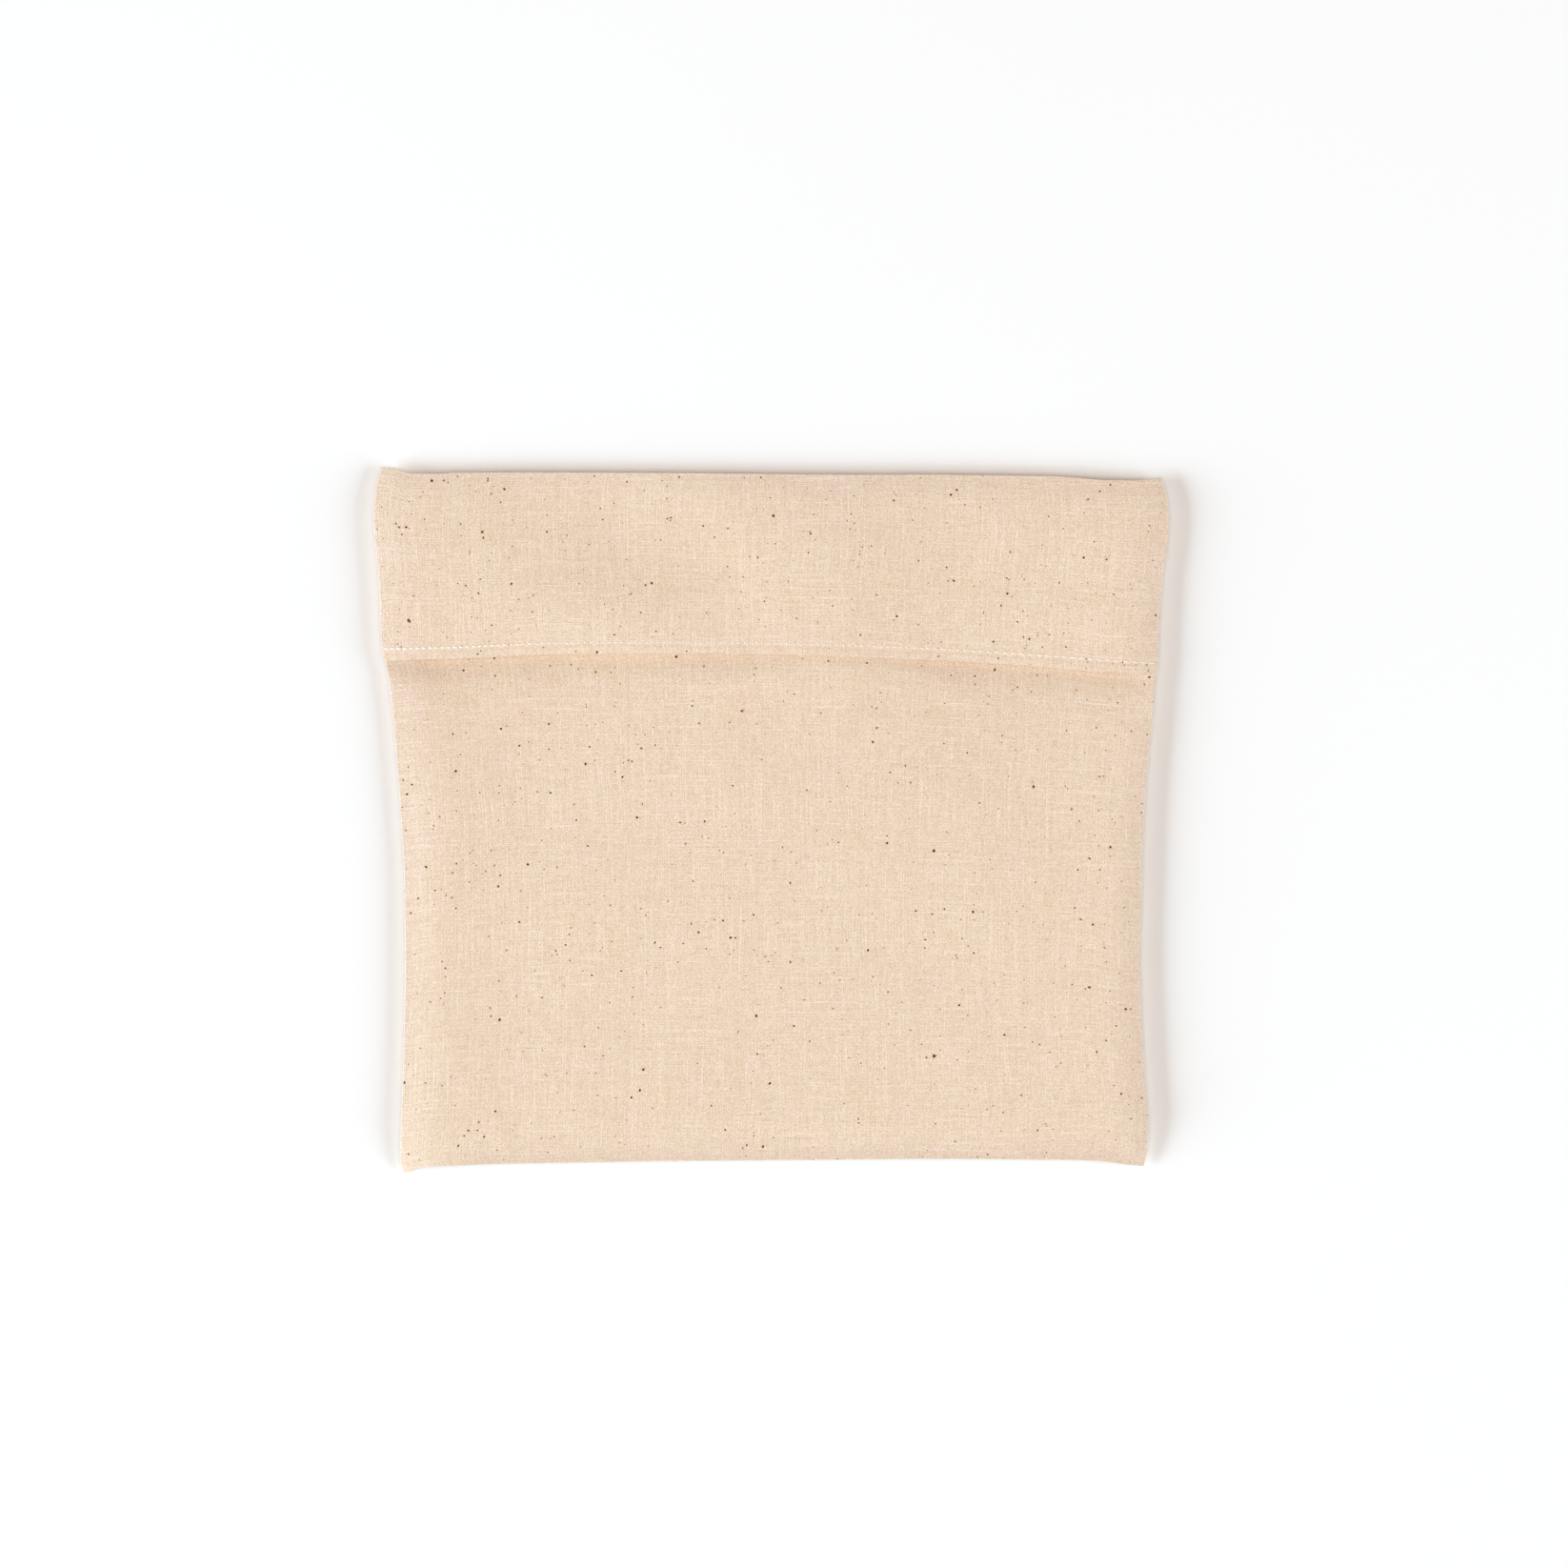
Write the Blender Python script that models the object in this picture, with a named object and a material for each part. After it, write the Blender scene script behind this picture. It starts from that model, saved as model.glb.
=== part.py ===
"""A fabric sandwich bag, closed and lying on its back.

It is one strip of cotton, hemmed at both ends. The strip lies double for the pouch: the back panel, the bottom
fold and the front panel, whose hemmed edge is the pouch's mouth. Past the mouth the back goes on as a flap. It
is turned over the top fold on to the front, and is sewn in at the same two side seams as the panels.

The cloth is one loft across the bag between unlike sections. At the seams a section is one closed loop. Inside
them it goes back and forth: up the back, over the top fold, down the flap to its hem and back under it, down
the front from the mouth, round the bottom fold and up the inside of the back.

+X is to the bag's right, +Y to its top fold and +Z up, away from the surface that it lies on.
"""

import bpy
import numpy as np

MM = 0.001

# Real sizes of the bag as it lies.
BAG_HEIGHT = 176.5 * MM        # from the bottom corners to the top corners
CLOTH = 1.0 * MM               # thickness of a layer
FRONT_HEIGHT = 4.4 * MM        # top of the front panel above the surface
FLAP_GAP = 0.5 * MM            # air between the front panel and the flap
HEM_LEVEL = 128.5 * MM         # the flap's hem at the left, above the bottom corners
MOUTH_LEVEL = 162.0 * MM       # hidden edge of the front panel, above the bottom corners
HEM_WIDTH = 6.6 * MM           # width of both hems
HEM_TURN = 0.45 * MM           # what a hem's turned layers add to its inner side
HEM_TURN_STEP = 1.0 * MM       # over which they start
SEAM_WIDTH = 2.2 * MM          # cloth pressed solid along each side seam
SEAM_DROP = 1.15 * MM          # the hollow starts this far below the edge
LIP = 0.7 * MM                 # how far in the edge is round
UNDERSIDE_REACH = 4.0 * MM     # over which the back comes down from an edge to the surface
SIDE_REACH = 9.0 * MM          # over which the layers part inside the side seams
BOTTOM_REACH = 4.0 * MM        # the same at the bottom fold
TOP_REACH = 4.6 * MM           # and at the top fold

# Corners of the outline.
BOTTOM_LEFT = np.array((-92.1, -88.2)) * MM
BOTTOM_RIGHT = np.array((93.2, -86.7)) * MM
TOP_LEFT = np.array((-97.9, 88.2)) * MM
TOP_RIGHT = np.array((97.9, 85.6)) * MM

# How far each side edge stands out from the line between its corners, in mm.
SIDE_BOW = (
    # level, left, right, in mm
    (0.0, 0.0, 0.0),
    (2.5, 0.7, 0.6),
    (7.0, 0.5, 0.8),
    (26.0, -0.8, -0.7),
    (55.0, -2.2, -2.4),
    (78.0, -2.6, -2.5),
    (100.0, -1.9, -2.1),
    (117.0, -0.9, -1.0),
    (127.0, 0.2, -0.4),
    (128.5, 0.6, -0.2),
    (141.0, 1.1, 0.2),
    (152.0, 1.4, 0.7),
    (163.0, 2.0, 1.8),
    (171.0, 1.2, 1.4),
    (176.5, 0.0, 0.0),
)
# How far the bottom fold, the flap's hem and the top fold lie above the line between their ends, in mm.
BOTTOM_BOW = (
    # share of the width, rise in mm
    (0.0, 0.0),
    (0.008, 0.0),
    (0.022, 0.9),
    (0.07, 1.5),
    (0.25, 2.1),
    (0.7, 2.3),
    (0.85, 1.9),
    (0.95, 1.2),
    (0.985, 0.2),
    (1.0, 0.0),
)
HEM_BOW = (
    (0.0, 0.0),
    (0.1, 0.6),
    (0.2, 1.8),
    (0.36, 2.5),
    (0.6, 2.1),
    (0.74, 1.1),
    (0.86, -0.4),
    (1.0, -2.3),
)
TOP_BOW = (
    (0.0, 0.0),
    (0.016, 0.0),
    (0.037, -1.3),
    (0.1, -1.0),
    (0.3, -0.5),
    (0.6, -0.2),
    (0.86, 0.1),
    (0.96, -0.7),
    (1.0, 0.0),
)
# Height of the outline's edge above the surface, in mm: low at the corners, half way up elsewhere.
SIDE_EDGE_HEIGHT = (
    # level, left, right, in mm
    (0.0, 1.6, 1.6),
    (8.0, 2.9, 2.8),
    (60.0, 3.2, 3.2),
    (115.0, 3.2, 3.2),
    (126.0, 3.3, 3.2),
    (136.0, 4.2, 3.2),
    (160.0, 4.1, 3.2),
    (170.0, 3.5, 3.0),
    (176.5, 2.2, 2.2),
)
FOLD_EDGE_HEIGHT = (
    # share of the width, bottom fold, top fold, in mm
    (0.0, 1.6, 2.2),
    (0.03, 2.9, 2.9),
    (0.08, 3.7, 3.3),
    (0.92, 3.7, 3.3),
    (0.97, 2.9, 2.9),
    (1.0, 1.6, 2.2),
)
# How the front and the flap rise from the sides: distance in mm, shares of the whole rise.
SIDE_RISE = (
    # distance, front left, front right, flap left, flap right
    (0.0, 0.0, 0.0, 0.0, 0.0),
    (1.0, 0.09, 0.19, 0.13, 0.17),
    (2.0, 0.19, 0.47, 0.28, 0.36),
    (3.3, 0.36, 0.74, 0.50, 0.56),
    (5.0, 0.58, 0.90, 0.72, 0.73),
    (7.0, 0.79, 0.96, 0.83, 0.85),
    (10.0, 0.96, 1.0, 0.82, 0.96),
    (14.0, 0.95, 1.0, 0.80, 1.0),
    (20.0, 0.86, 1.0, 0.84, 1.0),
    (45.0, 1.0, 1.0, 1.0, 1.0),
)
FOLD_RISE = (
    # distance, bottom fold, top fold
    (0.0, 0.0, 0.0),
    (1.2, 0.05, 0.3),
    (2.4, 0.15, 0.58),
    (4.8, 0.48, 0.88),
    (8.0, 0.85, 1.0),
    (12.0, 1.0, 1.0),
)
# The flap's outer side above the front's, which ends at the mouth.
FLAP_RISE = (
    # level, rise, in mm
    (0.0, 0.75),
    (145.0, 0.75),
    (162.0, 0.35),
    (176.5, -0.35),
)
# The valley along the hem, where the flap presses on the front.
HEM_VALLEY = (
    # share of the width, depth, width below the hem, width above it, in mm
    (0.0, 0.6, 8.0, 9.0),
    (0.08, 0.9, 8.0, 9.0),
    (0.33, 0.9, 8.0, 9.0),
    (0.5, 0.4, 5.0, 8.0),
    (0.62, 0.4, 6.0, 8.0),
    (0.8, 0.8, 12.0, 9.0),
    (1.0, 0.8, 15.0, 9.0),
)
VALLEY_CURVE = 1.4
FLAP_VALLEY = 0.5                  # share of the valley's depth that shows on the flap
# Soft ridges and troughs of the front and the flap, in mm and degrees.
SOFT_FOLDS = (
    # x, y, half length, half width, in mm, turn in degrees, height in mm
    (-50.0, 40.0, 40.0, 24.0, 0.0, -0.7),
    (62.0, 36.0, 40.0, 24.0, 0.0, -0.6),
    (-38.0, 48.0, 24.0, 12.0, -8.0, 0.45),
    (-38.0, 73.0, 24.0, 12.0, -8.0, -0.45),
    (-6.0, 64.0, 26.0, 5.0, -62.0, 0.3),
    (44.0, 68.0, 34.0, 9.0, -10.0, -0.2),
    (-60.0, 12.0, 34.0, 16.0, -40.0, -0.3),
    (-12.0, 8.0, 56.0, 10.0, -34.0, 0.2),
    (20.0, -20.0, 60.0, 9.0, -38.0, -0.15),
    (42.0, 8.0, 50.0, 14.0, -60.0, 0.25),
    (-20.0, -52.0, 60.0, 12.0, -8.0, -0.2),
    (30.0, -70.0, 50.0, 8.0, 4.0, 0.15),
)
# Where the mesh has its columns and rows, in mm: close together at the edges, the hem and the mouth.
SIDE_STATIONS = (0.0, 0.7, 2.2, 4.2, 6.8, 10.0, 15.5)
FOLD_STATIONS = (0.0, 0.4, 1.0, 2.1, 3.6, 6.0)
BODY_COLUMNS = 18
BODY_ROWS = 12
FLAP_ROWS = 3
TOP_ROWS = 2
HEM_STATIONS = (0.0, 0.8, 2.4, 4.4, 6.6, 7.6)
SEAM_COLUMN = SIDE_STATIONS.index(2.2)   # the hollow starts here
FOLD_ROW = FOLD_STATIONS.index(1.0)      # and here at the folds
FLAT_COLUMN = SIDE_STATIONS.index(10.0)  # the back is flat from here on
FLAT_ROW = FOLD_STATIONS.index(6.0)
HEM_FOOT = 1.6 * MM                      # last row of the front before the hem
SHARP_ANGLE = np.radians(50)             # edges that turn more than this stay sharp

COTTON = (0.84, 0.68, 0.51, 1.0)


def clear_scene():
    for thing in list(bpy.data.objects):
        bpy.data.objects.remove(thing)


def read_table(table, at, column=1):
    """A column of a table, whose values are in mm, as smoothly interpolated metres at the given places."""
    rows = np.array(table)
    places, values = rows[:, 0], rows[:, column]
    step = np.clip(np.searchsorted(places, at, side="right") - 1, 0, len(places) - 2)
    share = np.clip((at - places[step]) / (places[step + 1] - places[step]), 0, 1)
    slopes = np.gradient(values, places)
    span = places[step + 1] - places[step]
    start, end = values[step], values[step + 1]
    lean_in, lean_out = slopes[step] * span, slopes[step + 1] * span
    cubic = (
        start * (1 + 2 * share) * (1 - share) ** 2
        + lean_in * share * (1 - share) ** 2
        + end * share**2 * (3 - 2 * share)
        - lean_out * share**2 * (1 - share)
    )
    low, high = np.minimum(start, end), np.maximum(start, end)
    return np.clip(cubic, low, high) * MM


def mesh_columns():
    """Shares of the width at which the mesh has columns, from the left seam to the right one."""
    width = (BOTTOM_RIGHT - BOTTOM_LEFT)[0]
    near = np.array(SIDE_STATIONS) * MM / width
    middle = np.linspace(near[-1], 1 - near[-1], BODY_COLUMNS + 1)
    return np.concatenate([near[:-1], middle, (1 - near[:-1])[::-1]])


def mesh_rows():
    """Levels above the bottom at which the mesh has rows, and which of them are the hem and the mouth."""
    near = np.array(FOLD_STATIONS) * MM
    hem = HEM_LEVEL + np.array(HEM_STATIONS) * MM
    body = np.linspace(near[-1], HEM_LEVEL - HEM_FOOT, BODY_ROWS + 1)
    mouth_hem = MOUTH_LEVEL - HEM_WIDTH - HEM_TURN_STEP
    flap = np.linspace(hem[-1], mouth_hem, FLAP_ROWS + 1)
    top = np.linspace(MOUTH_LEVEL, BAG_HEIGHT - near[-1], TOP_ROWS + 1)
    below_mouth = [near[:-1], body, hem[:-1], flap, [mouth_hem + HEM_TURN_STEP]]
    rows = np.concatenate([*below_mouth, top, (BAG_HEIGHT - near[:-1])[::-1]])
    hem_row = len(near) - 1 + len(body)
    mouth_row = sum(len(part) for part in below_mouth)
    return rows, hem_row, mouth_row


def plan_of(columns, rows):
    """Where each column crosses each row, seen from above: x and y, a row of the array for each level."""
    level = rows / BAG_HEIGHT
    left = BOTTOM_LEFT + np.outer(level, TOP_LEFT - BOTTOM_LEFT)
    right = BOTTOM_RIGHT + np.outer(level, TOP_RIGHT - BOTTOM_RIGHT)
    left[:, 0] -= read_table(SIDE_BOW, rows / MM, 1)
    right[:, 0] += read_table(SIDE_BOW, rows / MM, 2)

    bows = np.array([read_table(table, columns) for table in (BOTTOM_BOW, HEM_BOW, TOP_BOW)])
    known_levels = np.array((0, HEM_LEVEL, BAG_HEIGHT))
    rise = np.array([np.interp(rows, known_levels, bows[:, i]) for i in range(len(columns))]).T

    across = columns[None, :]
    x = left[:, :1] * (1 - across) + right[:, :1] * across
    y = left[:, 1:] * (1 - across) + right[:, 1:] * across + rise
    centre_x = (x.min() + x.max()) / 2
    centre_y = (y.min() + y.max()) / 2
    return x - centre_x, y - centre_y


def rounded(distance, reach):
    """The rise of a rounded edge: 0 at the edge, 1 from its reach inwards."""
    share = np.clip(distance / reach, 0, 1)
    return np.sqrt(1 - (1 - share) ** 2)


def side_distances(columns):
    width = (BOTTOM_RIGHT - BOTTOM_LEFT)[0]
    return columns * width, (1 - columns) * width


def from_edges(columns, rows, curve):
    """A curve of the distance from the outline, multiplied over its four sides."""
    left, right = side_distances(columns)
    return np.outer(curve(rows) * curve(BAG_HEIGHT - rows), curve(left) * curve(right))


def share_of(table, distance, column):
    """A rise's share, from 0 to 1, at a distance in metres."""
    return read_table(table, distance / MM, column) / MM


def fullness(columns, rows, left_column):
    """How full a layer is at each point, 0 at the edge and 1 inside, by the side rises from a column on."""
    left, right = side_distances(columns)
    across = share_of(SIDE_RISE, left, left_column) * share_of(SIDE_RISE, right, left_column + 1)
    along = share_of(FOLD_RISE, rows, 1) * share_of(FOLD_RISE, BAG_HEIGHT - rows, 2)
    return np.outer(along, across)


def parting(columns, rows):
    """How far the layers have parted at each point: 0 at the seams and the folds' inner sides, 1 inside."""
    left, right = side_distances(columns)
    across = rounded(np.minimum(left, right) - SEAM_WIDTH, SIDE_REACH - SEAM_WIDTH)
    along = rounded(rows - CLOTH, BOTTOM_REACH - CLOTH) * rounded(BAG_HEIGHT - rows - CLOTH, TOP_REACH - CLOTH)
    return np.outer(along, across)


def edge_height(columns, rows):
    """The height of the outline's edge, carried across the bag from its sides and its folds."""
    left = read_table(SIDE_EDGE_HEIGHT, rows / MM, 1)[:, None]
    right = read_table(SIDE_EDGE_HEIGHT, rows / MM, 2)[:, None]
    bottom = read_table(FOLD_EDGE_HEIGHT, columns, 1)[None, :]
    top = read_table(FOLD_EDGE_HEIGHT, columns, 2)[None, :]
    level = (rows / BAG_HEIGHT)[:, None]
    side = left * (1 - columns) + right * columns
    return side + (bottom - bottom[0, 0]) * (1 - level) ** 20 + (top - top[0, 0]) * level**30


def soft_folds(x, y):
    """The height of the soft ridges and troughs over the plan."""
    height = np.zeros_like(x)
    for at_x, at_y, half_length, half_width, turn, size in SOFT_FOLDS:
        angle = np.radians(turn)
        dx, dy = x / MM - at_x, y / MM - at_y
        along = (dx * np.cos(angle) + dy * np.sin(angle)) / half_length
        across = (dy * np.cos(angle) - dx * np.sin(angle)) / half_width
        height += size * MM * np.exp(-(along**2) - across**2)
    return height


def hem_valley(columns, from_hem):
    """The depth of the valley along the hem, deepest at the hem."""
    depth, below, above = (read_table(HEM_VALLEY, columns, k)[None, :] for k in (1, 2, 3))
    distance = from_hem[:, None]
    share = np.clip(1 - np.abs(distance) / np.where(distance < 0, below, above), 0, 1)
    return depth * share**VALLEY_CURVE


def hem_turn(from_hem):
    """What the turned layers add to a hem's inner side, by the distance from its edge."""
    return HEM_TURN * np.clip(1 - (from_hem - HEM_WIDTH) / HEM_TURN_STEP, 0, 1)[:, None]


def layer_heights(columns, rows, hem_row, x, y):
    """The skins of the three layers, each as a height for every point of the plan."""
    edge = edge_height(columns, rows)
    thin = edge + CLOTH / 2 * from_edges(columns, rows, lambda distance: rounded(distance, LIP))
    back_low = edge * (1 - from_edges(columns, rows, lambda distance: rounded(distance, UNDERSIDE_REACH)))
    inner = parting(columns, rows)
    seam = np.maximum(edge - SEAM_DROP, back_low + CLOTH)
    valley = hem_valley(columns, rows - HEM_LEVEL)
    body = FRONT_HEIGHT + soft_folds(x, y)
    front = body - valley
    flap = body - FLAP_VALLEY * valley + read_table(FLAP_RISE, rows / MM)[:, None]

    front_high = thin + (front - edge - CLOTH / 2) * fullness(columns, rows, 1)
    flap_high = thin + (flap - edge - CLOTH / 2) * fullness(columns, rows, 3)
    flap_low = flap_high - CLOTH - hem_turn(rows - HEM_LEVEL) * inner
    # From the hem up the front gives way to the flap that lies on it.
    under_flap = np.s_[hem_row:, 1:-1]
    front_high[under_flap] = np.minimum(front_high, flap_low - FLAP_GAP * inner)[under_flap]
    front_low = np.minimum(seam + (front - CLOTH - seam) * inner, front_high - CLOTH)
    return {
        "back_low": back_low,
        "back_high": np.maximum(seam + (CLOTH - seam) * inner, back_low + CLOTH),
        "front_low": front_low - hem_turn(MOUTH_LEVEL - rows) * inner,
        "front_high": front_high,
        "flap_low": flap_low,
        "flap_high": flap_high,
    }


class Loft:
    """Gathers the cloth's closed surface, section by section, sharing points where two skins meet.

    A section runs up the bag along one column. At the seams it is one loop, and inside them it goes back and
    forth through the three layers, so neighbouring sections aren't alike.
    """

    def __init__(self, x, y):
        self.x, self.y = x, y
        self.points, self.faces, self.known = [], [], {}

    def point(self, row, column, height):
        key = (row, column, round(float(height), 7))
        if key not in self.known:
            self.known[key] = len(self.points)
            self.points.append((self.x[row, column], self.y[row, column], height))
        return self.known[key]

    def skin(self, heights, row_span, column_span, facing_up, flat=None):
        """One side of a layer. A flat stretch of it, given as its first and last row and column, is one face."""
        if flat:
            self.flat_face(heights, *flat, facing_up)
        for row in range(*row_span):
            for column in range(*column_span):
                if flat and flat[0] <= row < flat[1] and flat[2] <= column < flat[3]:
                    continue
                corners = [(row, column), (row, column + 1), (row + 1, column + 1), (row + 1, column)]
                self.face([self.point(r, c, heights[r, c]) for r, c in corners], facing_up)

    def flat_face(self, heights, first_row, last_row, first_column, last_column, facing_up):
        rows, columns = range(first_row, last_row), range(first_column, last_column)
        ring = [(first_row, c) for c in columns] + [(r, last_column) for r in rows]
        ring += [(last_row, c + 1) for c in reversed(columns)] + [(r + 1, first_column) for r in reversed(rows)]
        self.face([self.point(r, c, heights[r, c]) for r, c in ring], facing_up)

    def band(self, lower, upper, places, forward):
        """A wall between two skins along a line of grid places."""
        for (r0, c0), (r1, c1) in zip(places[:-1], places[1:]):
            corners = [
                self.point(r0, c0, lower[r0, c0]), self.point(r1, c1, lower[r1, c1]),
                self.point(r1, c1, upper[r1, c1]), self.point(r0, c0, upper[r0, c0]),
            ]
            self.face(corners, forward)

    def face(self, corners, forward):
        ring = list(dict.fromkeys(corners))
        if len(ring) > 2:
            self.faces.append(ring if forward else ring[::-1])


def bag_cloth():
    columns = mesh_columns()
    rows, hem_row, mouth_row = mesh_rows()
    x, y = plan_of(columns, rows)
    layer = layer_heights(columns, rows, hem_row, x, y)
    last_row, last_column = len(rows) - 1, len(columns) - 1
    low_row, high_row = FOLD_ROW, last_row - FOLD_ROW
    left, right = SEAM_COLUMN, last_column - SEAM_COLUMN

    # The layers meet along the seams. The front goes over into the back at the bottom fold, and the flap at the
    # top fold.
    front_high, front_low = layer["front_high"], layer["front_low"]
    back_high, flap_low = layer["back_high"], layer["flap_low"]
    for column in (left, right):
        flap_low[:, column] = front_high[:, column]
        back_high[:, column] = np.minimum(front_low[:, column], back_high[:, column])
        front_low[:, column] = back_high[:, column]
    front_low[low_row] = back_high[low_row]
    flap_low[high_row] = back_high[high_row]

    loft = Loft(x, y)
    across, inside = (0, last_column), (left, right)
    flat = (FLAT_ROW, last_row - FLAT_ROW, FLAT_COLUMN, last_column - FLAT_COLUMN)
    loft.skin(layer["back_low"], (0, last_row), across, False, flat)
    loft.skin(back_high, (low_row, high_row), inside, True, flat)
    loft.skin(front_low, (low_row, mouth_row), inside, False)
    loft.skin(front_high, (0, hem_row), across, True)
    loft.skin(front_high, (hem_row, mouth_row), inside, True)
    loft.skin(flap_low, (hem_row, high_row), inside, False)
    loft.skin(layer["flap_high"], (hem_row, last_row), across, True)

    mouth = [(mouth_row, c) for c in range(left, right + 1)]
    loft.band(front_low, front_high, mouth, False)
    for column, forward in ((left, True), (right, False)):
        side = [(r, column) for r in range(mouth_row, high_row + 1)]
        loft.band(back_high, flap_low, side, forward)
    hem_open = [(hem_row, c) for c in range(left, right + 1)]
    loft.band(flap_low, layer["flap_high"], hem_open, True)
    for span in (range(0, left + 1), range(right, last_column + 1)):
        loft.band(front_high, layer["flap_high"], [(hem_row, c) for c in span], True)
    return loft


def cotton_material():
    material = bpy.data.materials.new("unbleached_cotton")
    material.use_nodes = True
    shader = material.node_tree.nodes["Principled BSDF"]
    shader.inputs["Base Color"].default_value = COTTON
    shader.inputs["Roughness"].default_value = 0.9
    shader.inputs["Metallic"].default_value = 0.0
    return material


def main():
    clear_scene()
    collection = bpy.data.collections.new("sandwich_bag")
    bpy.context.scene.collection.children.link(collection)
    loft = bag_cloth()
    mesh = bpy.data.meshes.new("bag_cloth")
    mesh.from_pydata(loft.points, [], loft.faces)
    mesh.materials.append(cotton_material())
    mesh.shade_smooth()
    mesh.set_sharp_from_angle(angle=SHARP_ANGLE)
    collection.objects.link(bpy.data.objects.new("bag_cloth", mesh))


main()
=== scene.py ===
"""The looks of the fabric sandwich bag: thin cotton on its solid's folds, with stitches, flecks and the set.

The bag is one strip of cloth. Its own coordinates run across it (u) and along it (v): from the front's mouth
down to the bottom fold, up the back, over the top fold and down the flap to the hem. A place on the bag is
given by a share of its width from the left seam and a level above the bottom corners.
"""

import math

import bpy
import numpy as np
from mathutils import Matrix, Vector


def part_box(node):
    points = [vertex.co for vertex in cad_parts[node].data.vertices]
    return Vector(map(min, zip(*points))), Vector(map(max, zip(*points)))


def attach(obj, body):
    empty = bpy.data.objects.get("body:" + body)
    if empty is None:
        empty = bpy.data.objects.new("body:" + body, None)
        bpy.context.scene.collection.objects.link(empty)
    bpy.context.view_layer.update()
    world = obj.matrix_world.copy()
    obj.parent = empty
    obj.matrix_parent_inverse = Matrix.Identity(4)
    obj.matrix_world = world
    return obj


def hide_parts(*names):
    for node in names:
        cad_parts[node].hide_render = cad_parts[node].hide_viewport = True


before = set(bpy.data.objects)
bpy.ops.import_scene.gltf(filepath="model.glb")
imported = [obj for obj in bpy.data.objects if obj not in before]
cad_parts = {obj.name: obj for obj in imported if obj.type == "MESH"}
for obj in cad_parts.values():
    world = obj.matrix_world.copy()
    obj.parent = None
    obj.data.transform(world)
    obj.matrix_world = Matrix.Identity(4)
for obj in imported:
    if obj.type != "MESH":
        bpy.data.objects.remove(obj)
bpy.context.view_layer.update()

MM = 0.001
PIXEL = 0.2388 * MM                # real size of one pixel of the photograph
IMAGE_SIDE = 1646
BAG_CENTRE_PX = (809.75, 860.5)    # the bag's middle in the photograph

# The bag's real sizes. Its outline is the CAD solid's, and its heights are close to the solid's.
BAG_HEIGHT = 176.5 * MM
FRONT_HEIGHT = 4.1 * MM
HEM_LEVEL = 128.1 * MM
MOUTH_LEVEL = 162.0 * MM
UNDERSIDE_REACH = 10.0 * MM        # over which the back comes down from an edge to the floor
UNDERSIDE_CURVE = 1.6              # above 1, so that it stays flat near the edge
BOTTOM_LEFT = np.array((-92.1, -88.2)) * MM
BOTTOM_RIGHT = np.array((93.2, -86.7)) * MM
TOP_LEFT = np.array((-97.9, 88.2)) * MM
TOP_RIGHT = np.array((97.9, 85.6)) * MM
FLAT_WIDTH = 0.199                 # of the strip as cut and hemmed

# The real cloth is thinner than its solid.
CLOTH = 0.5 * MM
LIP = 0.12 * MM                    # half the thickness of the bag's thin edge, and how far in it is round
HEM_TURNS = 0.8 * MM               # thickness that the hem's turned layers add
HEM_DEPTH = 2.5 * MM               # how far up from the hem they reach
HEM_FADE = 1.0 * MM                # over which they end
HEM_EDGE = 0.25 * MM               # height of the hem's own edge, which stands off the front
HEM_SEAT = 1.4 * MM                # how far in from it the hem lies on the front
SEAM_WIDTH = 1.5 * MM
STITCH_LEVEL = HEM_LEVEL + 3.0 * MM
LEAST_GAP = 0.1 * MM               # between the front and the flap's underside
LEAST_COVER = 0.25 * MM            # from the front to the flap's top

SIDE_BOW = (
    # level, left, right, in mm
    (0.0, 0.0, 0.0),
    (2.5, 0.7, 0.6),
    (7.0, 0.5, 0.8),
    (26.0, -0.8, -0.7),
    (55.0, -2.2, -2.4),
    (78.0, -2.6, -2.5),
    (100.0, -1.9, -2.1),
    (117.0, -0.9, -1.0),
    (127.0, 0.2, -0.4),
    (128.5, 0.6, -0.2),
    (141.0, 1.1, 0.2),
    (152.0, 1.4, 0.7),
    (163.0, 2.0, 1.8),
    (171.0, 1.2, 1.4),
    (176.5, 0.0, 0.0),
)
BOTTOM_BOW = (
    # share of the width, rise in mm
    (0.0, 0.0),
    (0.008, 0.0),
    (0.022, 0.9),
    (0.07, 1.5),
    (0.25, 2.1),
    (0.7, 2.3),
    (0.85, 1.9),
    (0.95, 1.2),
    (0.985, 0.2),
    (1.0, 0.0),
)
HEM_BOW = (
    (0.0, 0.0),
    (0.1, 0.7),
    (0.2, 1.75),
    (0.36, 2.3),
    (0.6, 1.9),
    (0.74, 0.9),
    (0.86, -0.5),
    (1.0, -2.3),
)
TOP_BOW = (
    (0.0, 0.0),
    (0.016, 0.0),
    (0.037, -1.3),
    (0.1, -1.0),
    (0.3, -0.5),
    (0.6, -0.2),
    (0.86, 0.1),
    (0.96, -0.7),
    (1.0, 0.0),
)
SIDE_EDGE_HEIGHT = (
    # level, left, right, in mm
    (0.0, 1.6, 1.6),
    (8.0, 2.7, 2.6),
    (60.0, 2.95, 2.95),
    (115.0, 2.95, 2.95),
    (126.0, 3.1, 2.9),
    (136.0, 3.4, 2.8),
    (160.0, 3.3, 2.8),
    (170.0, 3.0, 2.7),
    (176.5, 2.2, 2.2),
)
FOLD_EDGE_HEIGHT = (
    # share of the width, bottom fold, top fold, in mm
    (0.0, 1.6, 2.2),
    (0.03, 3.1, 2.8),
    (0.08, 4.1, 3.1),
    (0.92, 4.1, 3.1),
    (0.97, 3.1, 2.8),
    (1.0, 1.6, 2.2),
)
BOTTOM_FADE = 20                   # powers of the level by which the folds' edges pass into the sides'
TOP_FADE = 30
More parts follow.
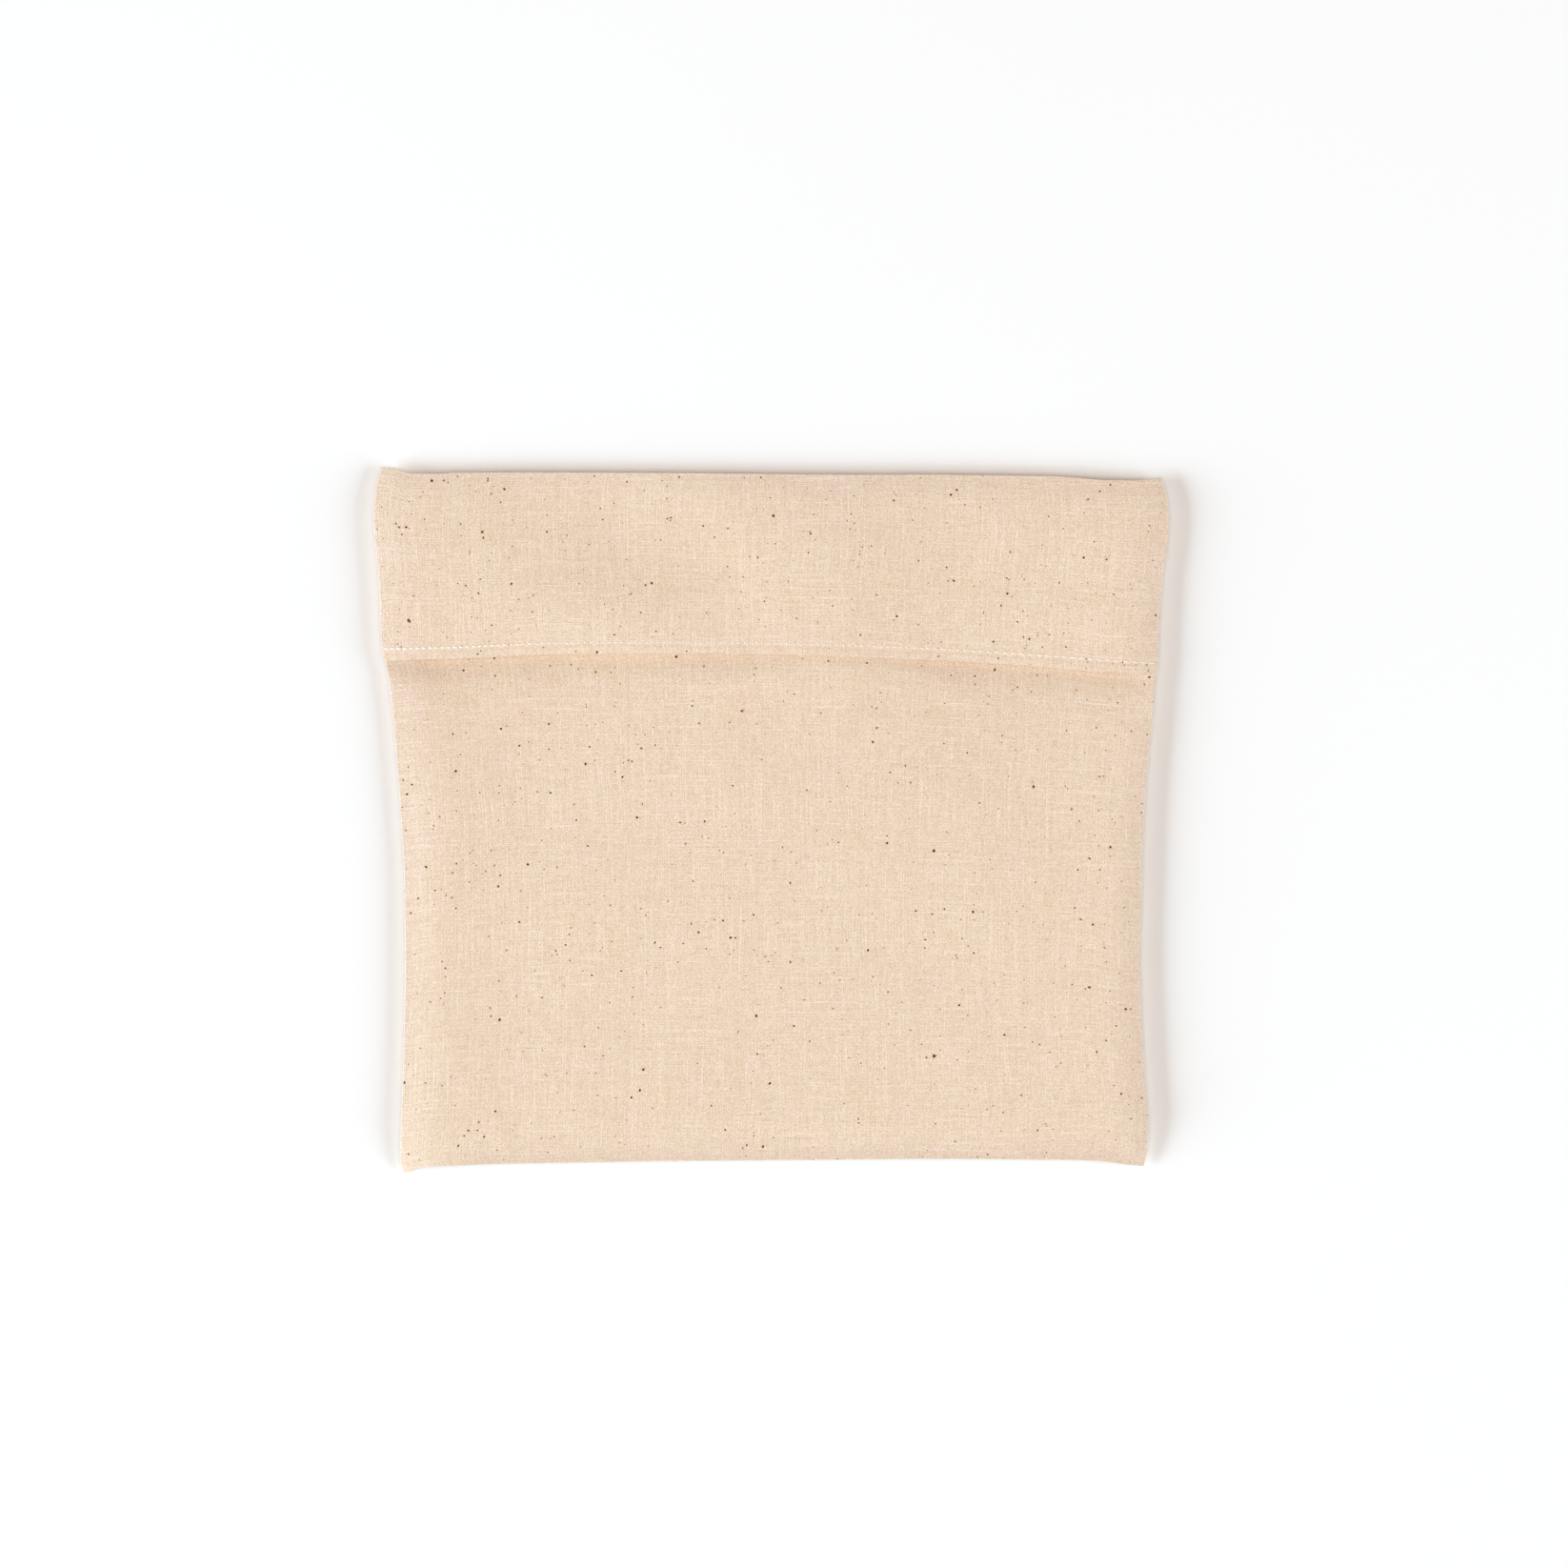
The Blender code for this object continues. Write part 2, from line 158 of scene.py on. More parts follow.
# How the front and the flap rise from the sides: distance in mm, shares of the whole rise.
SIDE_RISE = (
    # distance, front left, front right, flap left, flap right
    (0.0, 0.0, 0.0, 0.0, 0.0),
    (1.0, 0.09, 0.17, 0.10, 0.17),
    (2.0, 0.19, 0.42, 0.21, 0.36),
    (3.3, 0.36, 0.68, 0.34, 0.56),
    (5.0, 0.58, 0.90, 0.47, 0.73),
    (7.0, 0.79, 0.98, 0.57, 0.85),
    (10.0, 0.96, 1.0, 0.68, 0.96),
    (14.0, 0.95, 1.0, 0.77, 1.0),
    (20.0, 0.86, 1.0, 0.86, 1.0),
    (45.0, 1.0, 1.0, 1.0, 1.0),
)
FOLD_RISE = (
    # distance, bottom fold, top fold
    (0.0, 0.0, 0.0),
    (1.2, 0.05, 0.3),
    (2.4, 0.15, 0.58),
    (4.8, 0.48, 0.88),
    (8.0, 0.85, 1.0),
    (12.0, 1.0, 1.0),
)
# The flap's outer side above the front's, which ends at the mouth.
FLAP_RISE = (
    # level, rise, in mm
    (0.0, 0.6),
    (145.0, 0.6),
    (160.0, 0.3),
    (170.0, -0.15),
    (176.5, -0.5),
)
HEM_PROFILE = (
    # distance from the hem, added height, in mm
    (0.0, 0.0),
    (1.9, 0.04),
    (2.4, -0.04),
    (2.9, 0.02),
    (6.0, 0.0),
)
# The valley along the hem, where the flap presses on the front.
HEM_VALLEY = (
    # share of the width, depth, width below the hem, width above it, in mm
    (0.0, 0.9, 9.0, 9.0),
    (0.08, 1.4, 12.0, 9.0),
    (0.33, 1.3, 12.0, 9.0),
    (0.5, 0.45, 7.0, 8.0),
    (0.62, 0.45, 7.0, 8.0),
    (0.8, 0.95, 12.0, 9.0),
    (1.0, 0.95, 15.0, 9.0),
)
VALLEY_CURVE = 1.4                 # above 1, so that the valley is steepest at the hem
FLAP_VALLEY = 0.12                 # share of the valley's depth that shows on the flap
SOFT_FOLDS = (
    # x, y, half length, half width, in mm, turn in degrees, height in mm
    (-50.0, 40.0, 42.0, 28.0, 0.0, -1.2),
    (62.0, 36.0, 42.0, 28.0, 0.0, -1.1),
    (-38.0, 48.0, 24.0, 12.0, -8.0, 0.95),
    (-38.0, 73.0, 24.0, 12.0, -8.0, -0.95),
    (-66.0, 58.0, 16.0, 18.0, 0.0, 0.3),
    (-10.0, 58.0, 13.0, 18.0, 0.0, -0.4),
    (-4.0, 64.0, 26.0, 7.0, -62.0, 0.2),
    (14.0, 60.0, 18.0, 20.0, 0.0, 0.5),
    (44.0, 68.0, 34.0, 9.0, -10.0, -0.2),
    (-60.0, 12.0, 34.0, 16.0, -40.0, -0.3),
    (-12.0, 8.0, 56.0, 10.0, -34.0, 0.2),
    (20.0, -20.0, 60.0, 9.0, -38.0, -0.15),
    (42.0, 8.0, 50.0, 14.0, -60.0, 0.25),
    (-20.0, -52.0, 60.0, 12.0, -8.0, -0.2),
    (30.0, -70.0, 50.0, 8.0, 4.0, 0.15),
)
# Puckers along the side seams and the hem: periods in mm, with phases and shares of the height.
PUCKER_WAVES = (
    (5.3, 0.4, 0.45),
    (8.7, 2.1, 0.35),
    (13.9, 4.0, 0.2),
)
SEAM_PUCKER = 0.06 * MM
SEAM_PUCKER_REACH = 3.5 * MM
HEM_PUCKER = 0.03 * MM
HEM_PUCKER_REACH = 3.0 * MM

# Where the mesh has its columns and rows, in mm from the sides and the folds.
SIDE_STATIONS = (
    0.0, 0.02, 0.07, 0.15, 0.3, 0.5, 0.8, 1.1, 1.5, 2.0,
    2.6, 3.3, 4.1, 5.0, 5.9, 6.8, 7.7, 8.6, 9.5,
)
FOLD_STATIONS = (0.0, 0.02, 0.07, 0.15, 0.3, 0.5, 0.8, 1.2, 1.7, 2.3, 3.0, 3.8, 4.6)
COLUMN_STEP = 0.85 * MM
ROW_STEP = 1.0 * MM
HEM_STEP = 0.3 * MM
HEM_DENSE = 4.2 * MM                # the strip above the hem with the closest rows
SEAM_COLUMN = SIDE_STATIONS.index(1.5)
FOLD_ROW = FOLD_STATIONS.index(0.8)
HEM_FOOT = 1.0 * MM                # the outline steps out to the flap's width over this much below the hem
BACK_STRIDE = 4                    # the back has one in so many of the grid's lines
# Skins that lie hidden: how many lines are kept at each border, and how many steps apart the others are.
INSIDE_GRID = (6, 8)
SLOT_COLUMNS = (10, 3)
SLOT_ROWS = (8, 6)
SHARP_ANGLE = 50                   # in degrees, from which an edge is shaded sharp


def read_table(table, at, column=1):
    """A column of a table, whose values are in mm, as smoothly interpolated metres at the given places."""
    rows = np.array(table)
    places, values = rows[:, 0], rows[:, column]
    step = np.clip(np.searchsorted(places, at, side="right") - 1, 0, len(places) - 2)
    span = places[step + 1] - places[step]
    share = np.clip((at - places[step]) / span, 0, 1)
    slopes = np.gradient(values, places)
    start, end = values[step], values[step + 1]
    cubic = (
        start * (1 + 2 * share) * (1 - share) ** 2
        + slopes[step] * span * share * (1 - share) ** 2
        + end * share**2 * (3 - 2 * share)
        - slopes[step + 1] * span * share**2 * (1 - share)
    )
    return np.clip(cubic, np.minimum(start, end), np.maximum(start, end)) * MM


def spread(start, end, step):
    """Evenly spaced places from start to end, about a step apart."""
    return np.linspace(start, end, max(2, round((end - start) / step) + 1))


def mesh_columns():
    width = (BOTTOM_RIGHT - BOTTOM_LEFT)[0]
    near = np.array(SIDE_STATIONS) * MM / width
    middle = spread(near[-1], 1 - near[-1], COLUMN_STEP / width)
    return np.concatenate([near[:-1], middle, (1 - near[:-1])[::-1]])


def mesh_rows():
    """Levels at which the mesh has rows, and which of them are the hem's and the mouth's."""
    near = np.array(FOLD_STATIONS) * MM
    hem_top = HEM_LEVEL + HEM_DENSE
    below_hem = [near[:-1], spread(near[-1], HEM_LEVEL - HEM_FOOT, ROW_STEP), [HEM_LEVEL - HEM_FOOT / 2]]
    hem = spread(HEM_LEVEL, hem_top, HEM_STEP)
    flap = spread(hem_top, MOUTH_LEVEL, ROW_STEP)
    top = spread(MOUTH_LEVEL, BAG_HEIGHT - near[-1], ROW_STEP)
    rows = np.concatenate([*below_hem, hem, flap[1:], top[1:], (BAG_HEIGHT - near[:-1])[::-1]])
    hem_row = sum(len(part) for part in below_hem)
    mouth_row = hem_row + len(hem) - 1 + len(flap) - 1
    return rows, hem_row, mouth_row


def plan_of(columns, rows):
    """Where each column crosses each row, seen from above, before the bag is centred."""
    level = rows / BAG_HEIGHT
    left = BOTTOM_LEFT + np.outer(level, TOP_LEFT - BOTTOM_LEFT)
    right = BOTTOM_RIGHT + np.outer(level, TOP_RIGHT - BOTTOM_RIGHT)
    left[:, 0] -= read_table(SIDE_BOW, rows / MM, 1)
    right[:, 0] += read_table(SIDE_BOW, rows / MM, 2)
    bows = np.array([read_table(table, columns) for table in (BOTTOM_BOW, HEM_BOW, TOP_BOW)])
    known_levels = np.array((0, HEM_LEVEL, BAG_HEIGHT))
    rise = np.array([np.interp(rows, known_levels, bows[:, i]) for i in range(len(columns))]).T
    across = columns[None, :]
    x = left[:, :1] * (1 - across) + right[:, :1] * across
    y = left[:, 1:] * (1 - across) + right[:, 1:] * across + rise
    return x, y


def rounded(distance, reach):
    """The rise of a rounded edge: 0 at the edge, 1 from its reach inwards."""
    share = np.clip(distance / reach, 0, 1)
    return np.sqrt(1 - (1 - share) ** 2)


def side_distances(columns):
    width = (BOTTOM_RIGHT - BOTTOM_LEFT)[0]
    return columns * width, (1 - columns) * width


def share_of(table, distance, column):
    """A rise's share, from 0 to 1, at a distance in metres."""
    return read_table(table, distance / MM, column) / MM


def lip(columns, rows, inset=0.0):
    """0 on the outline and 1 from a lip's width inwards, for a skin that starts an inset in."""
    left, right = side_distances(columns)
    across = rounded(left - inset, LIP) * rounded(right - inset, LIP)
    along = rounded(rows - inset, LIP) * rounded(BAG_HEIGHT - rows - inset, LIP)
    return np.outer(along, across)


def fullness(columns, rows, left_column):
    """How full a layer is at each point, 0 at the edge and 1 inside, by the side rises from a column on."""
    left, right = side_distances(columns)
    across = share_of(SIDE_RISE, left, left_column) * share_of(SIDE_RISE, right, left_column + 1)
    along = share_of(FOLD_RISE, rows, 1) * share_of(FOLD_RISE, BAG_HEIGHT - rows, 2)
    return np.outer(along, across)


def underside(columns, rows):
    """How far the back has come down to the floor at each point, 0 at the edge and 1 inside."""
    left, right = side_distances(columns)
    near = [np.clip(distance / UNDERSIDE_REACH, 0, 1) for distance in (left, right, rows, BAG_HEIGHT - rows)]
    curve = [share**UNDERSIDE_CURVE for share in near]
    return np.outer(curve[2] * curve[3], curve[0] * curve[1])


def edge_height(columns, rows):
    """The height of the outline's edge, carried across the bag from its sides and its folds."""
    left = read_table(SIDE_EDGE_HEIGHT, rows / MM, 1)[:, None]
    right = read_table(SIDE_EDGE_HEIGHT, rows / MM, 2)[:, None]
    bottom = read_table(FOLD_EDGE_HEIGHT, columns, 1)[None, :]
    top = read_table(FOLD_EDGE_HEIGHT, columns, 2)[None, :]
    level = (rows / BAG_HEIGHT)[:, None]
    side = left * (1 - columns) + right * columns
    return side + (bottom - bottom[0, 0]) * (1 - level) ** BOTTOM_FADE + (top - top[0, 0]) * level**TOP_FADE


def soft_folds(x, y):
    """The height of the soft ridges and troughs over the plan."""
    height = np.zeros_like(x)
    for at_x, at_y, half_length, half_width, turn, size in SOFT_FOLDS:
        angle = np.radians(turn)
        dx, dy = x / MM - at_x, y / MM - at_y
        along = (dx * np.cos(angle) + dy * np.sin(angle)) / half_length
        across = (dy * np.cos(angle) - dx * np.sin(angle)) / half_width
        height += size * MM * np.exp(-(along**2) - across**2)
    return height


def hem_valley(columns, from_hem):
    """The depth of the valley along the hem, deepest at the hem."""
    depth, below, above = (read_table(HEM_VALLEY, columns, k)[None, :] for k in (1, 2, 3))
    distance = from_hem[:, None]
    share = np.clip(1 - np.abs(distance) / np.where(distance < 0, below, above), 0, 1)
    return depth * share**VALLEY_CURVE


def puckers(along):
    """Uneven ripples, from -1 to 1, by the distance along a seam."""
    height = 0.0
    for period, phase, share in PUCKER_WAVES:
        height = height + share * np.sin(2 * np.pi * along / MM / period + phase)
    return height


def layer_heights(columns, rows, mouth_row, x, y):
    """The skins of the three layers, each as a height for every point of the plan."""
    edge = edge_height(columns, rows)
    down = underside(columns, rows)
    outer, inner = lip(columns, rows), lip(columns, rows, SEAM_WIDTH)
    from_hem = rows - HEM_LEVEL
    near_seam = np.exp(-np.minimum(*side_distances(columns)) / SEAM_PUCKER_REACH)[None, :]
    near_hem = np.exp(-((from_hem / HEM_PUCKER_REACH) ** 2))[:, None]
    valley = hem_valley(columns, from_hem)
    body = FRONT_HEIGHT + soft_folds(x, y) + SEAM_PUCKER * near_seam * puckers(rows)[:, None]
    front = body - valley
    flap = body - FLAP_VALLEY * valley + HEM_PUCKER * near_hem * puckers(x)
    flap += (read_table(FLAP_RISE, rows / MM) + read_table(HEM_PROFILE, from_hem / MM))[:, None]
    turned = HEM_TURNS * np.clip(1 - (from_hem - HEM_DEPTH) / HEM_FADE, 0, 1)[:, None]

    thin = edge + LIP * outer
    front_high = thin + (front - edge - LIP) * fullness(columns, rows, 1)
    flap_high = thin + (flap - edge - LIP) * fullness(columns, rows, 3)
    back_low = edge - LIP * outer - (edge - LIP) * down
    back_high = np.minimum(back_low + CLOTH * inner, (back_low + front_high) / 2)
    covered = (from_hem >= 0)[:, None]
    front_high = np.where(covered, np.minimum(front_high, flap_high - LEAST_COVER * inner), front_high)
    flap_low = np.maximum(flap_high - CLOTH - turned, back_high)
    on_front = np.maximum(front_high + LEAST_GAP * inner, flap_low)
    off_front = np.clip(1 - from_hem / HEM_SEAT, 0, 1)[:, None]
    on_front += np.maximum(flap_high - HEM_EDGE - on_front, 0) * off_front
    flap_low[: mouth_row + 1] = on_front[: mouth_row + 1]
    return {
        "back_low": back_low,
        "back_high": back_high,
        "front_low": np.maximum(front_high - CLOTH * inner, back_high),
        "front_high": front_high,
        "flap_low": flap_low,
        "flap_high": flap_high,
    }


class Cloth:
    """Gathers the cloth's skins into one closed mesh, sharing points where two skins meet."""

    def __init__(self, x, y, columns):
        self.x, self.y = x, y
        self.u = columns * FLAT_WIDTH
        self.points, self.faces, self.uvs, self.known = [], [], [], {}

    def point(self, row, column, height):
        key = (row, column, round(float(height), 7))
        if key not in self.known:
            self.known[key] = len(self.points)
            self.points.append((self.x[row, column], self.y[row, column], height))
        return self.known[key]

    def face(self, places, heights, v, forward):
        ring, uvs = [], []
        for (row, column), height, along in zip(places, heights, v):
            index = self.point(row, column, height)
            if index not in ring:
                ring.append(index)
                uvs.append((self.u[column], along))
        if len(ring) > 2:
            self.faces.append(ring if forward else ring[::-1])
            self.uvs.extend(uvs if forward else uvs[::-1])

    def skin(self, heights, rows, columns, v, facing_up):
        """One side of a layer, on the given rows and columns of the grid, with every point of its border."""
        for i, (r0, r1) in enumerate(zip(rows[:-1], rows[1:])):
            first, last = i == 0, i == len(rows) - 2
            for j, (c0, c1) in enumerate(zip(columns[:-1], columns[1:])):
                low = range(c0, c1) if first else (c0,)
                high = range(c1, c0, -1) if last else (c1,)
                right = range(r0, r1) if j == len(columns) - 2 else (r0,)
                left = range(r1, r0, -1) if j == 0 else (r1,)
                places = [(r0, c) for c in low] + [(r, c1) for r in right]
                places += [(r1, c) for c in high] + [(r, c0) for r in left]
                self.face(places, [heights[p] for p in places], [v[r] for r, _ in places], facing_up)

    def band(self, lower, upper, places, v, forward):
        """A wall between two skins along a line of grid places."""
        for a, b in zip(places[:-1], places[1:]):
            heights = [lower[a], lower[b], upper[b], upper[a]]
            self.face([a, b, b, a], heights, [v[a[0]], v[b[0]], v[b[0]], v[a[0]]], forward)


def add_object(name, data):
    """Puts a mesh, a camera or a light in the scene."""
    thing = bpy.data.objects.new(name, data)
    bpy.context.scene.collection.objects.link(thing)
    return thing


def sparse(first, last, edge, stride):
    """Grid numbers from first to last: each of them near both ends, and every stride-th between."""
    middle = list(range(first + edge, last - edge, stride))
    return list(range(first, first + edge)) + middle + list(range(last - edge, last + 1))


def build_cloth():
    columns = mesh_columns()
    rows, hem_row, mouth_row = mesh_rows()
    x, y = plan_of(columns, rows)
    low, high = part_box("bag_cloth")
    shift_x = (low.x + high.x - x.min() - x.max()) / 2
    shift_y = (low.y + high.y - y.min() - y.max()) / 2
    x, y = x + shift_x, y + shift_y
    layer = layer_heights(columns, rows, mouth_row, x, y)
    last_row, last_column = len(rows) - 1, len(columns) - 1
    low_row, high_row = FOLD_ROW, last_row - FOLD_ROW
    left, right = SEAM_COLUMN, last_column - SEAM_COLUMN
    front_high, flap_low = layer["front_high"], layer["flap_low"]
    for column in (left, right):
        flap_low[:, column] = front_high[:, column]
        layer["front_low"][:, column] = layer["back_high"][:, column]
    layer["front_low"][low_row] = layer["back_high"][low_row]
    flap_low[high_row] = layer["back_high"][high_row]

    front_v, back_v = MOUTH_LEVEL - rows, MOUTH_LEVEL + rows
    flap_v = MOUTH_LEVEL + 2 * BAG_HEIGHT - rows
    cloth = Cloth(x, y, columns)
    across = list(range(last_column + 1))
    back_columns = sparse(0, last_column, len(SIDE_STATIONS), BACK_STRIDE)
    back_rows = sparse(0, last_row, len(FOLD_STATIONS), BACK_STRIDE)
    inner_columns = sparse(left, right, *INSIDE_GRID)
    slot_columns = sparse(left, right, *SLOT_COLUMNS)

    cloth.skin(layer["back_low"], back_rows, back_columns, back_v, False)
    cloth.skin(layer["back_high"], sparse(low_row, high_row, *INSIDE_GRID), inner_columns, back_v, True)
    cloth.skin(layer["front_low"], sparse(low_row, mouth_row, *INSIDE_GRID), inner_columns, front_v, False)
    cloth.skin(front_high, list(range(hem_row + 1)), across, front_v, True)
    cloth.skin(front_high, sparse(hem_row, mouth_row, *SLOT_ROWS), slot_columns, front_v, True)
    cloth.skin(flap_low, sparse(hem_row, high_row, *SLOT_ROWS), slot_columns, flap_v, False)
    cloth.skin(layer["flap_high"], list(range(hem_row, last_row + 1)), across, flap_v, True)

    mouth = [(mouth_row, c) for c in range(left, right + 1)]
    cloth.band(layer["front_low"], front_high, mouth, front_v, False)
    for column, forward in ((left, True), (right, False)):
        side = [(r, column) for r in range(mouth_row, high_row + 1)]
        cloth.band(layer["back_high"], flap_low, side, back_v, forward)
    cloth.band(flap_low, layer["flap_high"], [(hem_row, c) for c in range(left, right + 1)], flap_v, True)
    for span in (range(0, left + 1), range(right, last_column + 1)):
        cloth.band(front_high, layer["flap_high"], [(hem_row, c) for c in span], flap_v, True)

    mesh = bpy.data.meshes.new("bag_cloth_fine")
    mesh.from_pydata(cloth.points, [], cloth.faces)
    cloth_map = mesh.uv_layers.new(name="cloth_map", do_init=False)
    cloth_map.uv.foreach_set("vector", np.array(cloth.uvs, dtype=np.float32).ravel())
    mesh.shade_smooth()
    mesh.set_sharp_from_angle(angle=math.radians(SHARP_ANGLE))
    return add_object("bag_cloth_fine", mesh), (shift_x, shift_y)


# Stitches along the hem. They sink into the cotton in the middle, where its lint covers them.
STITCHES = (
    # share, pitch, visible length, lift and radius in mm, whiteness
    (0.0, 1.62, 1.15, 0.03, 0.24, 1.0),
    (0.12, 1.62, 1.10, 0.03, 0.24, 1.0),
    (0.20, 1.60, 0.75, 0.01, 0.21, 0.85),
    (0.35, 1.55, 0.60, -0.02, 0.18, 0.65),
    (0.55, 1.55, 0.60, -0.02, 0.18, 0.65),
    (0.66, 1.70, 0.95, 0.0, 0.19, 0.75),
    (0.78, 2.10, 1.25, 0.01, 0.20, 0.8),
    (0.90, 2.25, 1.40, 0.02, 0.20, 0.8),
    (1.0, 2.25, 1.40, 0.01, 0.20, 0.75),
)
# How unevenly they are sewn: least and most of the table's values, and the slant in mm.
STITCH_LENGTHS = (0.85, 1.12)
STITCH_PITCHES = (0.94, 1.06)
STITCH_WHITENESS = (0.8, 1.0)
STITCH_SLANT = 0.03
FIRST_STITCH = 0.006               # as a share of the width
LAST_STITCH = 0.997
# Shares of the thread's radius: how deep its ends lie, how far it arches up and how much its ends thin.
THREAD_SUNK = 0.35
THREAD_ARCH = 0.5
THREAD_TAPER = 0.35
THREAD_FLATNESS = 0.38             # how high the pressed thread is for its width
THREAD_SIDES = 8
THREAD_STEPS = 8
STITCH_SEED = 11
DROP_HEIGHT = 0.05                 # from which points are dropped on the cloth, in metres


def tube_faces(rings, sides, start):
    """Faces that join rings of points one after the other, closed at both ends."""
    faces = []
    for first in range(start, start + (rings - 1) * sides, sides):
        for step in range(sides):
            a, b = first + step, first + (step + 1) % sides
            faces.append((a, b, b + sides, a + sides))
    faces.append(tuple(range(start, start + sides))[::-1])
    faces.append(tuple(range(start + (rings - 1) * sides, start + rings * sides)))
    return faces


def thread_points(path, radius):
    """Rings of points around a path that lies mostly level."""
    points = []
    for index, place in enumerate(path):
        ahead = path[min(index + 1, len(path) - 1)] - path[max(index - 1, 0)]
        side = ahead.cross(Vector((0, 0, 1))).normalized()
        over = side.cross(ahead).normalized()
        for step in range(THREAD_SIDES):
            turn = 2 * math.pi * step / THREAD_SIDES
            outwards = side * math.cos(turn) + over * math.sin(turn) * THREAD_FLATNESS
            points.append(place + outwards * radius[index])
    return points


def add_piece(name, points, faces, attribute, values):
    """A smooth mesh with a value for each of its points."""
    mesh = bpy.data.meshes.new(name)
    mesh.from_pydata(points, [], faces)
    mesh.attributes.new(attribute, "FLOAT", "POINT").data.foreach_set("value", values)
    mesh.shade_smooth()
    return add_object(name, mesh)


def build_stitches(cloth, shift):
    """The row of stitches along the hem, one short arched thread for each."""
    chance = np.random.default_rng(STITCH_SEED)
    table = np.array(STITCHES)
    points, faces, white = [], [], []
    at = FIRST_STITCH
    while at < LAST_STITCH:
        pitch, visible, lift, thick = (np.interp(at, table[:, 0], table[:, k]) * MM for k in (1, 2, 3, 4))
        length = visible * chance.uniform(*STITCH_LENGTHS)
        shares = at + np.linspace(-0.5, 0.5, THREAD_STEPS + 1) * length / FLAT_WIDTH
        slant = chance.normal(0, STITCH_SLANT) * MM
        x, y = plan_of(shares, np.array([STITCH_LEVEL]))
        path = []
        for step, (px, py) in enumerate(zip(x[0] + shift[0], y[0] + shift[1])):
            t = 2 * step / THREAD_STEPS - 1
            _, place, _, _ = cloth.ray_cast(Vector((px, py, DROP_HEIGHT)), Vector((0, 0, -1)))
            arch = (1 - t**2) * thick * THREAD_ARCH - thick * THREAD_SUNK
            path.append(place + Vector((0, slant * t, arch + lift * (1 - t**2))))
        radius = [thick * (1 - THREAD_TAPER * abs(2 * k / THREAD_STEPS - 1) ** 3) for k in range(len(path))]
        faces += tube_faces(len(path), THREAD_SIDES, len(points))
        points += thread_points(path, radius)
        whiteness = np.interp(at, table[:, 0], table[:, 5]) * chance.uniform(*STITCH_WHITENESS)
        white += [whiteness] * (len(points) - len(white))
        at += pitch / FLAT_WIDTH * chance.uniform(*STITCH_PITCHES)
    return add_piece("hem_stitches", points, faces, "whiteness", white)


# The darkest flecks, where they lie in the photograph, in its pixels, with their length and darkness.
LARGE_FLECKS = (
    # x, y, length in mm, darkness
    (530, 514, 0.8, 0.9),
    (812, 542, 0.8, 1.0),
    (916, 779, 0.89, 0.9),
    (980, 893, 1.0, 1.0),
    (1021, 957, 0.89, 1.0),
    (991, 954, 0.62, 0.8),
    (961, 956, 0.62, 0.8),
    (1074, 669, 0.62, 0.8),
    (1080, 671, 0.62, 0.9),
    (1054, 1086, 0.8, 0.8),
    (794, 1066, 0.8, 0.9),
    (795, 1106, 0.62, 0.7),
    (1143, 901, 0.8, 0.8),
    (767, 984, 0.8, 0.9),
    (669, 858, 0.89, 0.8),
    (740, 862, 0.62, 0.9),
    (615, 802, 0.8, 0.8),
    (448, 910, 0.89, 0.8),
    (525, 1070, 0.89, 0.9),
    (614, 1098, 0.62, 0.8),
    (492, 1186, 0.8, 0.6),
    (801, 1203, 0.89, 0.6),
    (1198, 1152, 0.62, 0.7),
    (1143, 1036, 0.8, 0.8),
    (1181, 1059, 0.8, 0.7),
    (980, 1108, 1.0, 0.9),
    (971, 986, 0.8, 0.7),
    (641, 950, 0.62, 0.7),
    (1044, 703, 0.89, 0.9),
    (1206, 711, 0.89, 0.8),
    (430, 652, 1.2, 0.6),
    (507, 559, 0.8, 0.7),
    (851, 561, 0.62, 0.7),
    (1004, 515, 0.8, 0.8),
    (998, 520, 0.8, 0.8),
    (938, 526, 0.62, 0.9),
    (427, 554, 0.8, 0.8),
    (508, 565, 0.8, 0.7),
    (1060, 580, 0.62, 0.6),
    (903, 667, 0.62, 0.7),
)
# The other flecks, strewn evenly on both sides: how many, their lengths in mm and how dark they are.
STREWN_FLECKS = (
    # count, least and most length, least and most darkness
    (24, 0.72, 0.92, 0.9, 1.0),
    (120, 0.54, 0.70, 0.75, 1.0),
    (230, 0.44, 0.57, 0.45, 0.95),
    (700, 0.34, 0.45, 0.1, 0.7),
)
FLECK_SEED = 5
FLECK_SIDES = 7
FLECK_SLIMNESS = (0.55, 0.95)      # least and most width for a length
FLECK_RADII = (0.75, 1.1)          # least and most share of half the length, at each of its corners
FLECK_RINGS = (
    # height above the cloth in mm, share of the radius
    (-0.06, 0.9),
    (0.012, 1.0),
    (0.025, 0.6),
)
LEAST_UPRIGHT = 0.7                # of the cloth's normal, where a fleck is put


def bag_place(px, py):
    """The place on the surface of a pixel of the photograph, which looks straight down on the bag."""
    return (px - BAG_CENTRE_PX[0]) * PIXEL, (BAG_CENTRE_PX[1] - py) * PIXEL


def fleck_places(chance):
    """Every fleck's x, y, direction it is looked at from, length and darkness, in metres."""
    for px, py, length, darkness in LARGE_FLECKS:
        yield *bag_place(px, py), -1, length * MM, darkness
    low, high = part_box("bag_cloth")
    for count, *spans in STREWN_FLECKS:
        for down in [-1] * count + [1] * count:
            length, darkness = chance.uniform(*spans[:2]), chance.uniform(*spans[2:])
            yield chance.uniform(low.x, high.x), chance.uniform(low.y, high.y), down, length * MM, darkness


